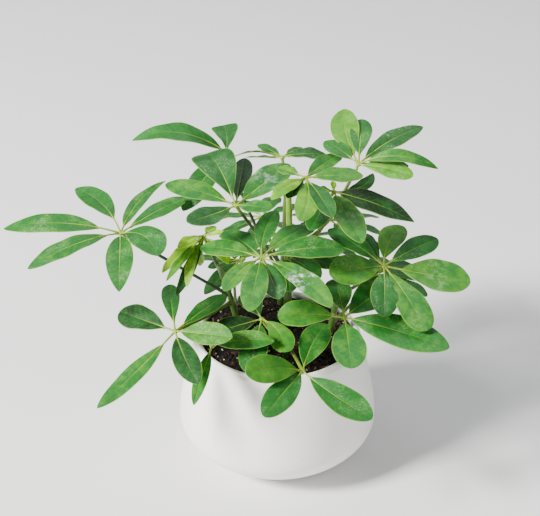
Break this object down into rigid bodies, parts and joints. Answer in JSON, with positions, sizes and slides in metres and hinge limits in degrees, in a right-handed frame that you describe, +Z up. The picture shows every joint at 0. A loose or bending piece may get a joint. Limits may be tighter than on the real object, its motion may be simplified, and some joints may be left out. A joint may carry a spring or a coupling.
{
  "type": "potted umbrella plant",
  "caption": "Small umbrella plant with whorls of long green leaflets on arching stalks, growing in soil in a round-bellied white ceramic pot.",
  "frame": {"origin": "centre of the pot's flat underside", "axes": "+Z up, +X to the right and +Y away from someone who looks at the plant's front"},
  "size_m": [0.2889, 0.2341, 0.2162],
  "materials": {
    "glazed_stoneware": "satin",
    "potting_soil": "matte",
    "green_stem": "satin",
    "grown_leaf": "satin",
    "young_leaf": "satin"
  },
  "bodies": {
    "root": {"pot": "glazed_stoneware", "soil": "potting_soil", "stem_left": "green_stem", "stem_centre": "green_stem", "stem_right": "green_stem", "stem_front": "green_stem", "stem_back": "green_stem", "frond_far_left": "grown_leaf", "frond_low_left": "grown_leaf", "frond_upper_left": "grown_leaf", "frond_top_left": "grown_leaf", "frond_middle": "grown_leaf", "frond_crown": "grown_leaf", "frond_top_right": "grown_leaf", "frond_right": "grown_leaf", "frond_low_right": "grown_leaf", "frond_front": "grown_leaf", "frond_low_centre": "grown_leaf", "frond_upper_right": "grown_leaf", "frond_young": "young_leaf", "frond_top_back": "grown_leaf", "frond_low_rim": "grown_leaf", "frond_inner": "grown_leaf", "frond_inner_left": "grown_leaf", "frond_back_middle": "grown_leaf", "frond_back_right": "grown_leaf", "frond_back_low": "grown_leaf", "frond_back_left": "grown_leaf", "frond_side_right": "grown_leaf"}
  },
  "joints": []
}
